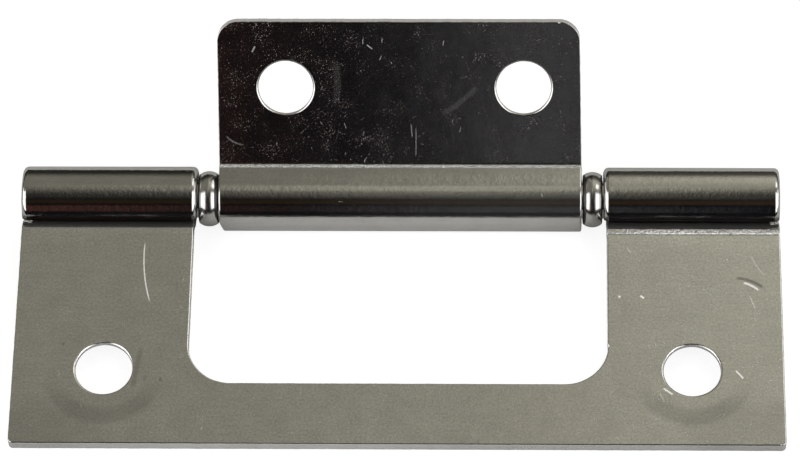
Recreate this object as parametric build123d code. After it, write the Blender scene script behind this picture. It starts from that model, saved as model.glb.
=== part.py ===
from build123d import *
import os
from math import acos, atan2, cos, degrees, hypot, radians, sin, tan

# Non-mortise hinge of plated steel sheet. The small inner leaf fits inside the window of the
# large outer leaf, and both are rolled round one plain pin with a loose ring at each joint.
# Frame: +X along the pin, +Z out of the outer leaf's mounting face, the outer leaf along -Y.
# Origin: midway between the outer leaf's screw holes, on that face.
# Lengths are in millimetres and angles in degrees.

# Sheet, pin and rolled knuckles
hinge_length = 63.5
sheet_thickness = 1.06
pin_diameter = 3.175
running_clearance = 0.05
pin_end_recess = 0.4
pin_end_chamfer = 0.3
reverse_bend_angle = 50.0
reverse_bend_inside_radius = 0.37
seam_gap = 0.08

# Inner leaf: its reach is from the pin's axis to its free end
inner_knuckle_length = 30.4
inner_leaf_reach = 15.6
inner_leaf_taper = 0.2
inner_hole_edge_distance = 5.7
inner_hole_spacing = 20.0
inner_hole_shift = 0.45
inner_hole_diameter = 4.85
inner_corner_radius = 1.75
inner_edge_rounding = 0.08
clipped_corner_width = 0.4
clipped_corner_height = 0.75

# Outer leaf: a bar and two arms round the window
window_end_clearance = 2.2
window_corner_radius = 3.6
knuckle_overhang = 0.25
bar_width = 5.5
outer_hole_edge_distance = 6.8
outer_hole_side_distance = 7.55
outer_hole_diameter = 4.9
outer_corner_radius = 0.4
outer_edge_rounding = 0.25

# Countersinks on the faces that the screw heads pull against
hole_land = 0.36
countersink_angle = 82.0

# Spacer rings between the knuckles
ring_width = 1.65
ring_side_clearance = 0.1
ring_wall = 0.45
ring_crown_rise = 0.24

# Pose in which the hinge lies: 0 is folded shut, with the inner leaf in the window
inner_leaf_opening = -132.0

# Worked out from the sizes above
half_sheet = sheet_thickness / 2
pin_radius = pin_diameter / 2
bore_radius = pin_radius + running_clearance
knuckle_radius = bore_radius + sheet_thickness
roll_radius = bore_radius + half_sheet
reverse_bend_radius = reverse_bend_inside_radius + half_sheet
knuckle_gap = ring_width + 2 * ring_side_clearance
knuckle_opening = inner_knuckle_length + 2 * knuckle_gap
window_width = knuckle_opening + 2 * knuckle_overhang
window_reach = inner_leaf_reach + window_end_clearance
outer_leaf_reach = window_reach + bar_width
outer_hole_reach = outer_leaf_reach - outer_hole_edge_distance
outer_hole_spacing = hinge_length - 2 * outer_hole_side_distance
inner_hole_reach = inner_leaf_reach - inner_hole_edge_distance
bend_start = roll_radius / sin(radians(reverse_bend_angle)) + reverse_bend_radius * tan(
    radians(reverse_bend_angle / 2)
)
through_all = 4 * knuckle_radius


def seam_angle():
    """Angle above the leaf at which the rolled edge stops, just clear of the bend's outside."""
    centre_distance = hypot(bend_start, reverse_bend_radius)
    centre_angle = atan2(-reverse_bend_radius, bend_start)
    keep_out = reverse_bend_radius + half_sheet + seam_gap
    cosine = (knuckle_radius**2 + centre_distance**2 - keep_out**2) / (
        2 * knuckle_radius * centre_distance
    )
    return degrees(centre_angle + acos(cosine))


def rolled_section(leaf_reach):
    """Sheet bent back and rolled round the pin: the pin at 0, 0, the leaf along +X of the
    sketch, and the roll closing on the side of +Y."""
    bend = radians(reverse_bend_angle)
    bend_outer = reverse_bend_radius + half_sheet
    bend_inner = reverse_bend_radius - half_sheet
    bend_centre = Vector(bend_start, -reverse_bend_radius)
    across_bend = Vector(-sin(bend), cos(bend))
    roll_start = reverse_bend_angle - 90
    roll_turn = 360 + roll_start - seam_angle()
    seam = Vector(cos(radians(seam_angle())), sin(radians(seam_angle())))
    with BuildSketch() as section:
        with BuildLine():
            Line((leaf_reach, half_sheet), (bend_start, half_sheet))
            CenterArc(bend_centre, bend_outer, 90, reverse_bend_angle)
            Line(bend_centre + across_bend * bend_outer, across_bend * -bore_radius)
            CenterArc((0, 0), bore_radius, roll_start, -roll_turn)
            Line(seam * bore_radius, seam * knuckle_radius)
            CenterArc((0, 0), knuckle_radius, roll_start, -roll_turn)
            Line(across_bend * -knuckle_radius, bend_centre + across_bend * bend_inner)
            CenterArc(bend_centre, bend_inner, 90, reverse_bend_angle)
            Line((bend_start, -half_sheet), (leaf_reach, -half_sheet))
            Line((leaf_reach, -half_sheet), (leaf_reach, half_sheet))
        make_face()
    return section.sketch


def rolled_sheet(leaf_reach, length):
    """The section drawn out along the pin, with the leaf along -Y and the seam on +Z."""
    across_pin = Plane((0, 0, 0), x_dir=(0, -1, 0), z_dir=(-1, 0, 0))
    return extrude(across_pin * rolled_section(leaf_reach), length / 2, both=True)


def window():
    """The opening in the outer leaf: rounded corners at the bar, and a little narrower
    between the knuckles than between the arms."""
    between_arms = Pos(0, -(bend_start + window_reach) / 2) * Rectangle(
        window_width, window_reach - bend_start
    )
    between_arms = fillet(between_arms.vertices().sort_by(Axis.Y)[:2], window_corner_radius)
    beyond_knuckle = 2 * knuckle_radius
    between_knuckles = Pos(0, (beyond_knuckle - bend_start) / 2) * Rectangle(
        knuckle_opening, beyond_knuckle + bend_start
    )
    return extrude(between_arms + between_knuckles, through_all / 2, both=True)


def inner_outline():
    """The inner leaf's plan: square at the knuckle, then narrowing to rounded corners."""
    half_knuckle = inner_knuckle_length / 2
    half_end = half_knuckle - inner_leaf_taper
    leaf = make_face(
        Polyline(
            (half_knuckle, knuckle_radius),
            (half_knuckle, -bend_start),
            (half_end, -inner_leaf_reach),
            (-half_end, -inner_leaf_reach),
            (-half_knuckle, -bend_start),
            (-half_knuckle, knuckle_radius),
            close=True,
        )
    )
    leaf = fillet(leaf.vertices().sort_by(Axis.Y)[:2], inner_corner_radius)
    return extrude(leaf, through_all / 2, both=True)


def screw_holes(spacing, shift, reach, diameter, head_side):
    """A pair of holes with a straight land, opening as countersinks on one face.
    head_side is 1 where that face is on +Z and -1 where it is on -Z."""
    depth = sheet_thickness - hole_land
    slope = tan(radians(countersink_angle / 2))
    wide_radius = diameter / 2 + 2 * depth * slope
    cone = Cone(diameter / 2, wide_radius, 2 * depth, align=(Align.CENTER, Align.CENTER, Align.MIN))
    if head_side < 0:
        cone = Rot(180, 0, 0) * cone
    cone_start = head_side * (half_sheet - depth)
    tool = Cylinder(diameter / 2, through_all) + Pos(0, 0, cone_start) * cone
    return [Pos(shift + side * spacing / 2, -reach, 0) * tool for side in (-1, 1)]


def knuckle_rims(leaf):
    """The outside edges of the knuckle ends, which run on round the whole blank."""
    round_edges = leaf.edges().filter_by(GeomType.CIRCLE)
    return [edge for edge in round_edges if abs(edge.radius - knuckle_radius) < 0.001]


def outer_leaf():
    """Large leaf with two knuckles, one each side of its window."""
    leaf = rolled_sheet(outer_leaf_reach, hinge_length) - window()
    free_corners = leaf.edges().filter_by(Axis.Z).group_by(Axis.Y)[0]
    leaf = fillet(free_corners, outer_corner_radius)
    leaf = fillet(knuckle_rims(leaf), outer_edge_rounding)
    for hole in screw_holes(outer_hole_spacing, 0, outer_hole_reach, outer_hole_diameter, -1):
        leaf -= hole
    return leaf


def clipped_corner():
    """The slanting cut that takes one corner off the middle knuckle's far side."""
    end = -inner_knuckle_length / 2
    far = knuckle_radius
    cut = make_face(
        Polyline(
            (end - clipped_corner_width, far - clipped_corner_height),
            (end, far - clipped_corner_height),
            (end + clipped_corner_width, far),
            (end + clipped_corner_width, far + clipped_corner_height),
            (end - clipped_corner_width, far + clipped_corner_height),
            close=True,
        )
    )
    return extrude(cut, through_all / 2, both=True)


def inner_leaf():
    """Small leaf with the middle knuckle, swung open from the window."""
    leaf = rolled_sheet(inner_leaf_reach, inner_knuckle_length)
    leaf = fillet(knuckle_rims(leaf), inner_edge_rounding)
    leaf = (leaf & inner_outline()) - clipped_corner()
    holes = screw_holes(
        inner_hole_spacing, inner_hole_shift, inner_hole_reach, inner_hole_diameter, 1
    )
    for hole in holes:
        leaf -= hole
    return leaf.rotate(Axis.X, inner_leaf_opening)


def hinge_pin():
    """Plain pin, a little shorter than the knuckles and chamfered at both ends."""
    pin = Cylinder(pin_radius, hinge_length - 2 * pin_end_recess)
    pin = chamfer(pin.edges().filter_by(GeomType.CIRCLE), pin_end_chamfer)
    return Rot(0, 90, 0) * pin


def spacer_ring():
    """Crowned ring that turns on the pin between two knuckles, centred on 0, 0, 0."""
    inside = pin_radius + running_clearance
    half_width = ring_width / 2
    edge = inside + ring_wall
    with BuildSketch() as section:
        with BuildLine():
            Line((-half_width, inside), (half_width, inside))
            Line((half_width, inside), (half_width, edge))
            ThreePointArc((half_width, edge), (0, edge + ring_crown_rise), (-half_width, edge))
            Line((-half_width, edge), (-half_width, inside))
        make_face()
    return revolve(section.sketch, Axis.X)


def hinge():
    """Every piece by name, still in the pin's own frame."""
    ring_place = (inner_knuckle_length + knuckle_gap) / 2
    return {
        "outer_leaf": outer_leaf(),
        "inner_leaf": inner_leaf(),
        "hinge_pin": hinge_pin(),
        "spacer_ring_left": Pos(-ring_place, 0, 0) * spacer_ring(),
        "spacer_ring_right": Pos(ring_place, 0, 0) * spacer_ring(),
    }


# Move the pin's axis to its place beside the origin and write one file for each piece
pin_axis = Pos(0, outer_hole_reach, -half_sheet)
os.makedirs("parts", exist_ok=True)
for name, piece in hinge().items():
    export_step(pin_axis * piece, f"parts/{name}.step")
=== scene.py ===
"""Looks of a plated steel hinge: two rolled leaves, a pin and two spacer rings on their frame."""

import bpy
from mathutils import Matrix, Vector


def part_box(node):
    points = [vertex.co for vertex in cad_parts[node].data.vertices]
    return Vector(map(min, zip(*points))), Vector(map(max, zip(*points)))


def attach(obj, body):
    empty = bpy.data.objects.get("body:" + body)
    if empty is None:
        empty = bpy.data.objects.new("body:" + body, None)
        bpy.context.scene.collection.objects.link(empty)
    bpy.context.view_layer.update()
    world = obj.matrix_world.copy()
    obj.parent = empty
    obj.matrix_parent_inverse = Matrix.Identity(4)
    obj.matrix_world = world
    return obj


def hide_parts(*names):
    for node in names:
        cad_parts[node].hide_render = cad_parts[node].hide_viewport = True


bl_info = {
    "name": "Plated Hinge",
    "version": (1, 0, 0),
    "blender": (4, 5, 0),
    "location": "3D View > Sidebar > Hinge",
    "description": "Builds the rolled leaves, pin and spacer rings of a plated steel hinge",
    "category": "Object",
}

from math import acos, asin, atan2, cos, degrees, hypot, pi, radians, sin, tan

import bmesh
import bpy
from bpy.props import FloatProperty, FloatVectorProperty, IntProperty, PointerProperty
from mathutils import Matrix, Vector, noise
from mathutils.geometry import delaunay_2d_cdt

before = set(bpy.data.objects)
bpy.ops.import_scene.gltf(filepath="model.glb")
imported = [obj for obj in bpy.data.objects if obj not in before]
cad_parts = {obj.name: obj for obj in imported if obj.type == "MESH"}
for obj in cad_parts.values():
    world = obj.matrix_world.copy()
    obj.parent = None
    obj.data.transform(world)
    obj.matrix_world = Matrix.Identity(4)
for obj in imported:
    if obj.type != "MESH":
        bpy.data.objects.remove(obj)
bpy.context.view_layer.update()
MM = 0.001

# Spacing of points along a sheared edge, and of the narrow rows that keep flat faces flat
EDGE_STEP = 0.12 * MM
SUPPORT = 0.02 * MM


def millimetres(name, description, size, lowest=0.0):
    """A length property that is given in millimetres and kept in metres."""
    return FloatProperty(
        name=name,
        description=description,
        default=size * MM,
        min=lowest * MM,
        unit="LENGTH",
        precision=5,
    )


def rotation(name, description, angle):
    """An angle property that is given in degrees and kept in radians."""
    return FloatProperty(name=name, description=description, default=radians(angle), subtype="ANGLE")


def colour(name, description, red, green, blue):
    """A colour property in linear light."""
    return FloatVectorProperty(
        name=name,
        description=description,
        default=(red, green, blue),
        min=0.0,
        max=1.0,
        size=3,
        subtype="COLOR",
    )


def share(name, description, value, highest=1.0):
    """A plain number from 0 to its highest value."""
    return FloatProperty(name=name, description=description, default=value, min=0.0, max=highest)


class SheetSizes(bpy.types.PropertyGroup):
    """The steel sheet and how it is bent and rolled."""

    thickness: millimetres("Thickness", "Thickness of the sheet", 1.06, 0.2)
    bore_radius: millimetres("Bore Radius", "Inside radius of the rolled knuckles", 1.6375, 0.3)
    bend_angle: rotation("Bend Angle", "How far the sheet bends back before it is rolled", 50.0)
    bend_radius: millimetres("Bend Radius", "Radius of that bend at the sheet's middle", 0.9, 0.6)
    seam_gap: millimetres("Seam Gap", "Room between the roll's end and the bend", 0.25)
    raggedness: millimetres("Raggedness", "How far the sheared edges wander", 0.022)
    hole_mouth: millimetres("Hole Mouth", "Rounding of the screw holes' mouths", 0.16)
    hole_land: millimetres("Hole Land", "Depth of the screw holes' straight part", 0.36)
    countersink: rotation("Countersink", "Full angle of the countersinks", 82.0)


class OuterLeafSizes(bpy.types.PropertyGroup):
    """The large leaf with the window."""

    length: millimetres("Length", "Length along the pin", 63.5)
    reach: millimetres("Reach", "From the pin's axis to the free edge", 23.4)
    window_width: millimetres("Window Width", "Width of the window between the arms", 34.6)
    window_reach: millimetres("Window Reach", "From the pin's axis to the window's far edge", 17.8)
    window_corner: millimetres("Window Corner", "Radius of the window's corners", 3.6)
    knuckle_opening: millimetres("Knuckle Opening", "Distance between the two knuckles", 34.1)
    corner: millimetres("Corner", "Radius of the free corners", 0.4)
    rim: millimetres("Rim", "Rounding of the knuckles' outside edges", 0.42)
    hole_spacing: millimetres("Hole Spacing", "Distance between the screw holes", 48.4)
    hole_reach: millimetres("Hole Reach", "From the pin's axis to the screw holes", 16.5)
    hole_diameter: millimetres("Hole Diameter", "Diameter inside the screw holes", 4.7)
    edge_rounding: millimetres("Edge Rounding", "Rounding of the sheared edges", 0.1)


class InnerLeafSizes(bpy.types.PropertyGroup):
    """The small leaf with the middle knuckle."""

    length: millimetres("Length", "Length of the knuckle along the pin", 30.4)
    reach: millimetres("Reach", "From the pin's axis to the free edge", 15.6)
    taper: millimetres("Taper", "How much the right side comes in towards the free edge", 0.2)
    corner: millimetres("Corner", "Radius of the free corners", 1.75)
    rim: millimetres("Rim", "Rounding of the knuckle's outside edges", 0.15)
    edge_rounding: millimetres("Edge Rounding", "Rounding of the sheared edges", 0.05)
    hole_spacing: millimetres("Hole Spacing", "Distance between the screw holes", 19.86)
    hole_shift: millimetres("Hole Shift", "How far the pair of holes sits off centre", 0.4)
    hole_reach: millimetres("Hole Reach", "From the pin's axis to the screw holes", 9.9)
    hole_diameter: millimetres("Hole Diameter", "Diameter inside the screw holes", 4.56)
    clip_width: millimetres("Clip Width", "Width of the corner that is clipped off", 0.28)
    clip_height: millimetres("Clip Height", "Height of the corner that is clipped off", 0.7)
    clip_lean: rotation("Clip Lean", "How far the clipped corner leans to the lower face", 18.0)
    swing: rotation("Swing", "Angle of the leaf from folded shut", -132.0)


class RingSizes(bpy.types.PropertyGroup):
    """The spacer rings that turn on the pin."""

    width: millimetres("Width", "Width along the pin", 1.65)
    wall: millimetres("Wall", "Thickness at the sides", 0.39)
    crown: millimetres("Crown", "How far a ring bulges between its sides", 0.3)
    place: millimetres("Place", "From the middle of the hinge to each ring", 16.125)
    steps: IntProperty(name="Steps", description="Facets round the pin", default=144, min=24)


class FinishSettings(bpy.types.PropertyGroup):
    """The nickel plating."""

    plating: colour("Plating", "Reflected colour of the plating", 0.62, 0.61, 0.595)
    worn: colour("Worn", "Colour where the plating is worn or torn", 0.9, 0.89, 0.87)
    roughness: share("Roughness", "Roughness of the plating", 0.06)
    grain: share("Grain", "Depth of the fine grain", 0.5)
    cracks: share("Cracks", "Strength of the crazed plating at the bends", 1.0, 3.0)


class StageSettings(bpy.types.PropertyGroup):
    """Floor, light and camera."""

    floor: colour("Floor", "Colour of the floor", 0.64, 0.64, 0.63)
    ceiling: colour("Ceiling", "Light from above and behind the hinge", 0.48, 0.47, 0.385)
    room: colour("Room", "Light from the camera's side", 0.006, 0.0065, 0.0085)
    haze: colour("Haze", "Faint light low on the camera's side", 0.17, 0.17, 0.175)
    warm: colour("Warm", "Warm light low on the left", 0.16, 0.07, 0.055)
    amber: colour("Amber", "Warm light halfway up on the camera's side", 0.085, 0.055, 0.025)
    fill: colour("Fill", "Dim light above the camera", 0.055, 0.053, 0.046)
    behind: colour("Behind", "Dim light low behind the hinge", 0.07, 0.065, 0.055)
    side_light: share("Side Light", "Strength of the soft light at each side", 2.0, 20.0)
    lamp_power: share("Lamp Power", "Power of the soft lamp above", 0.25, 100.0)
    lens: share("Lens", "Focal length in millimetres", 195.67, 1000.0)
    azimuth: rotation("Azimuth", "How far the camera stands to the right", 3.0235)
    elevation: rotation("Elevation", "How far the camera stands above the leaf's face", 60.0635)
    roll: rotation("Roll", "How far the camera leans", -2.4708)
    distance: millimetres("Distance", "From the camera to the pin", 366.08)


class HingeSettings(bpy.types.PropertyGroup):
    """Everything that can be set on the hinge."""

    sheet: PointerProperty(type=SheetSizes, name="Sheet", description="Sheet and rolls")
    outer: PointerProperty(type=OuterLeafSizes, name="Outer Leaf", description="Large leaf")
    inner: PointerProperty(type=InnerLeafSizes, name="Inner Leaf", description="Small leaf")
    rings: PointerProperty(type=RingSizes, name="Spacer Rings", description="Spacer rings")
    finish: PointerProperty(type=FinishSettings, name="Finish", description="Plating")
    stage: PointerProperty(type=StageSettings, name="Stage", description="Floor and light")


class Signal:
    """One output of a node. Arithmetic on it adds Math nodes to its graph."""

    def __init__(self, graph, socket):
        self.graph = graph
        self.socket = socket

    def __add__(self, other):
        return self.graph.math("ADD", self, other)

    def __radd__(self, other):
        return self.graph.math("ADD", other, self)

    def __sub__(self, other):
        return self.graph.math("SUBTRACT", self, other)

    def __rsub__(self, other):
        return self.graph.math("SUBTRACT", other, self)

    def __mul__(self, other):
        return self.graph.math("MULTIPLY", self, other)

    def __rmul__(self, other):
        return self.graph.math("MULTIPLY", other, self)

    def __truediv__(self, other):
        return self.graph.math("DIVIDE", self, other)

    def __rtruediv__(self, other):
        return self.graph.math("DIVIDE", other, self)

    def __pow__(self, other):
        return self.graph.math("POWER", self, other)

    def __neg__(self):
        return self.graph.math("MULTIPLY", self, -1.0)


class Graph:
    """A node tree that is written as calls and expressions."""

    def __init__(self, tree):
        self.tree = tree

    def add(self, kind, settings=None, sockets=None, output=0):
        """Adds one node, sets its settings and then its sockets, and gives one output."""
        node = self.tree.nodes.new(kind)
        for name, value in (settings or {}).items():
            if name == "stops":
                self.set_stops(node.color_ramp, value)
            else:
                setattr(node, name, value)
        for key, value in (sockets or {}).items():
            if isinstance(value, Signal):
                self.tree.links.new(value.socket, node.inputs[key])
            else:
                node.inputs[key].default_value = value
        return Signal(self, node.outputs[output]) if node.outputs else None

    def set_stops(self, ramp, stops):
        """Gives a colour ramp its stops as pairs of place and colour."""
        while len(ramp.elements) > 1:
            ramp.elements.remove(ramp.elements[-1])
        ramp.elements[0].position = stops[0][0]
        ramp.elements[0].color = (*stops[0][1], 1.0)
        for place, tint in stops[1:]:
            ramp.elements.new(place).color = (*tint, 1.0)

    def math(self, operation, *values):
        """A Math node on numbers or signals."""
        return self.add("ShaderNodeMath", {"operation": operation}, dict(enumerate(values)))

    def vector(self, operation, *values):
        """A Vector Math node on vectors or signals."""
        return self.add("ShaderNodeVectorMath", {"operation": operation}, dict(enumerate(values)))

    def split(self, vector):
        """The three parts of a vector."""
        first = self.add("ShaderNodeSeparateXYZ", sockets={0: vector})
        outputs = first.socket.node.outputs
        return [Signal(self, output) for output in outputs]

    def join(self, x, y, z):
        """A vector from its three parts."""
        return self.add("ShaderNodeCombineXYZ", sockets={0: x, 1: y, 2: z})

    def mix(self, amount, a, b):
        """Mixes two colours."""
        return self.add(
            "ShaderNodeMix",
            {"data_type": "RGBA"},
            {0: amount, 6: rgba(a), 7: rgba(b)},
            output=2,
        )

    def between(self, value, start, end):
        """0 before start, 1 after end and smooth in between."""
        return self.add(
            "ShaderNodeMapRange",
            {"interpolation_type": "SMOOTHSTEP"},
            {"Value": value, "From Min": start, "From Max": end},
        )

    def band(self, value, centre, half_width, softness):
        """1 within half_width of the centre, fading to 0 over softness."""
        distance = self.math("ABSOLUTE", value - centre)
        return 1 - self.between(distance, half_width, half_width + softness)

    def noise(self, vector, scale, detail=2.0, roughness=0.5):
        """Noise from 0 to 1 whose coarsest features are 1 over scale wide."""
        return self.add(
            "ShaderNodeTexNoise",
            sockets={"Vector": vector, "Scale": scale, "Detail": detail, "Roughness": roughness},
        )

    def bump(self, height, distance, normal):
        """A relief of that depth on the given normal, or on the bare surface for None."""
        sockets = {"Height": height, "Distance": distance, "Strength": 1.0}
        if normal is not None:
            sockets["Normal"] = normal
        return self.add("ShaderNodeBump", sockets=sockets)

    def group_input(self, name, kind, subtype=None):
        """Adds a named input to a geometry tree and gives its signal."""
        item = self.tree.interface.new_socket(name, in_out="INPUT", socket_type=kind)
        if subtype:
            item.subtype = subtype
        source = self.tree.nodes.get("Inputs") or self.tree.nodes.new("NodeGroupInput")
        source.name = "Inputs"
        return Signal(self, source.outputs[name])

    def group_output(self, geometry):
        """Gives the tree its one output."""
        self.tree.interface.new_socket("Geometry", in_out="OUTPUT", socket_type="NodeSocketGeometry")
        result = self.tree.nodes.new("NodeGroupOutput")
        self.tree.links.new(geometry.socket, result.inputs[0])


def rgba(value):
    """A colour with its alpha, or a signal as it is."""
    if isinstance(value, Signal) or len(value) == 4:
        return value
    return (*value, 1.0)


def fresh_graph(owner):
    """The emptied node tree of a material or world."""
    owner.use_nodes = True
    owner.node_tree.nodes.clear()
    return Graph(owner.node_tree)


def settings():
    """The values that the sidebar shows."""
    return bpy.context.scene.hinge


def half_sheet():
    """Half the sheet's thickness."""
    return settings().sheet.thickness / 2


def roll_radius():
    """Radius of the roll at the sheet's middle."""
    return settings().sheet.bore_radius + half_sheet()


def bend_start():
    """Distance from the pin's axis at which the flat part of a leaf ends."""
    sheet = settings().sheet
    return roll_radius() / sin(sheet.bend_angle) + sheet.bend_radius * tan(sheet.bend_angle / 2)


def bend_length():
    """Length of the bend at the sheet's middle."""
    return settings().sheet.bend_radius * settings().sheet.bend_angle


def straight_length():
    """Length of the straight run between the bend and the roll."""
    sheet = settings().sheet
    return roll_radius() / tan(sheet.bend_angle) - sheet.bend_radius * tan(sheet.bend_angle / 2)


def seam_angle():
    """Angle above the leaf at which the rolled edge stops, clear of the bend's outside."""
    sheet = settings().sheet
    knuckle_radius = sheet.bore_radius + sheet.thickness
    centre_distance = hypot(bend_start(), sheet.bend_radius)
    keep_out = sheet.bend_radius + half_sheet() + sheet.seam_gap
    cosine = (knuckle_radius**2 + centre_distance**2 - keep_out**2) / (
        2 * knuckle_radius * centre_distance
    )
    return atan2(-sheet.bend_radius, bend_start()) + acos(cosine)


def roll_length():
    """Length of the roll at the sheet's middle."""
    turn = radians(360 - 90) + settings().sheet.bend_angle - seam_angle()
    return roll_radius() * turn


def spread(start, end, step):
    """Evenly spaced values from start up to, but without, end."""
    count = max(1, round(abs(end - start) / step))
    return [start + (end - start) * index / count for index in range(count)]


def roll_rows():
    """Where the blank is divided across, from just before the bend to the rolled edge."""
    sheet = settings().sheet
    support = 0.04 * MM
    facet = radians(3)
    bend_end = bend_length()
    roll_start = bend_end + straight_length()
    rows = [-support]
    rows += spread(0, bend_end, facet * sheet.bend_radius)
    rows += [bend_end, bend_end + support, roll_start - support]
    rows += spread(roll_start, roll_start + roll_length(), facet * roll_radius())
    return rows + [roll_start + roll_length()]


def eased(amount):
    """0 up to amount 0, 1 from amount 1 and smooth in between."""
    amount = min(1.0, max(0.0, amount))
    return amount * amount * (3 - 2 * amount)


class Outline:
    """The sheared outline of a blank: x along the pin, y growing from the flat leaf, through
    0 at the start of the bend, to the rolled edge. It runs with the steel on its left."""

    def __init__(self):
        self.points = []

    def line_to(self, x, y):
        """A straight edge from the last point."""
        start = self.points[-1]
        end = Vector((x, y))
        for amount in spread(0, 1, EDGE_STEP / max((end - start).length, EDGE_STEP))[1:]:
            self.points.append(start.lerp(end, amount))
        self.points.append(end)

    def corner(self, centre_x, centre_y, radius, start, end):
        """An arc about a centre, from one angle to another in degrees."""
        for angle in [*spread(start, end, 4), end]:
            turn = radians(angle)
            self.points.append(Vector((centre_x + radius * cos(turn), centre_y + radius * sin(turn))))

    def knuckle_side(self, x_at, rows):
        """One side of a rolled strip. Gives the places of its points in the outline."""
        first = len(self.points)
        self.points += [Vector((x_at(row), row)) for row in rows]
        return range(first, len(self.points))

    def inward(self):
        """For each point the direction into the steel, long enough to keep corners square."""
        directions = []
        count = len(self.points)
        for index, point in enumerate(self.points):
            before = (point - self.points[index - 1]).normalized()
            after = (self.points[(index + 1) % count] - point).normalized()
            left = Vector((-before.y - after.y, before.x + after.x)).normalized()
            square = max(0.5, left.dot(Vector((-before.y, before.x))))
            directions.append(left / square)
        return directions


def wander(place, seed):
    """How far a sheared edge strays at a place, from about -1 to 1."""
    coarse = noise.noise(Vector((place.x, place.y, seed)) / (0.9 * MM))
    fine = noise.noise(Vector((place.x, place.y, seed)) / (0.27 * MM))
    return coarse * 0.9 + fine * 0.9


def rim_profile(upper_rounding, lower_rounding):
    """The sheared edge from the upper face round to the lower one, as rows of how far in from
    the outline, how high, and whether the steel is torn there. A narrow extra row at each end
    keeps the flat faces flat in reflections."""
    top = half_sheet()
    profile = [(upper_rounding + SUPPORT, top, 0)]
    for angle in (0, 22.5, 45, 67.5, 90):
        turn = radians(angle)
        inset = upper_rounding * (1 - sin(turn))
        profile.append((inset, top - upper_rounding * (1 - cos(turn)), 0))
    profile.append((0, top - upper_rounding - SUPPORT, 1))
    profile.append((0, -top + lower_rounding + SUPPORT, 1))
    for angle in (90, 67.5, 45, 22.5, 0):
        turn = radians(angle)
        inset = lower_rounding * (1 - sin(turn))
        profile.append((inset, -top + lower_rounding * (1 - cos(turn)), 0))
    profile.append((lower_rounding + SUPPORT, -top, 0))
    return profile


def hole_profile(radius, head_side):
    """A screw hole from the upper face to the lower one, as pairs of radius and height:
    a rounded mouth, a straight land and a countersink on the head's side."""
    top = half_sheet()
    mouth = settings().sheet.hole_mouth
    land = settings().sheet.hole_land
    slope = tan(settings().sheet.countersink / 2)
    wide = radius + (2 * top - land) * slope
    profile = [(radius + mouth + SUPPORT, top)]
    for angle in (0, 30, 60, 90):
        turn = radians(angle)
        profile.append((radius + mouth * (1 - sin(turn)), top - mouth * (1 - cos(turn))))
    profile += [
        (radius, top - land + SUPPORT),
        (radius, top - land),
        (radius + SUPPORT * slope, top - land - SUPPORT),
        (wide - SUPPORT * slope, -top + SUPPORT),
        (wide, -top),
        (wide + SUPPORT, -top),
    ]
    if head_side < 0:
        return profile
    return [(distance, -height) for distance, height in reversed(profile)]


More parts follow.
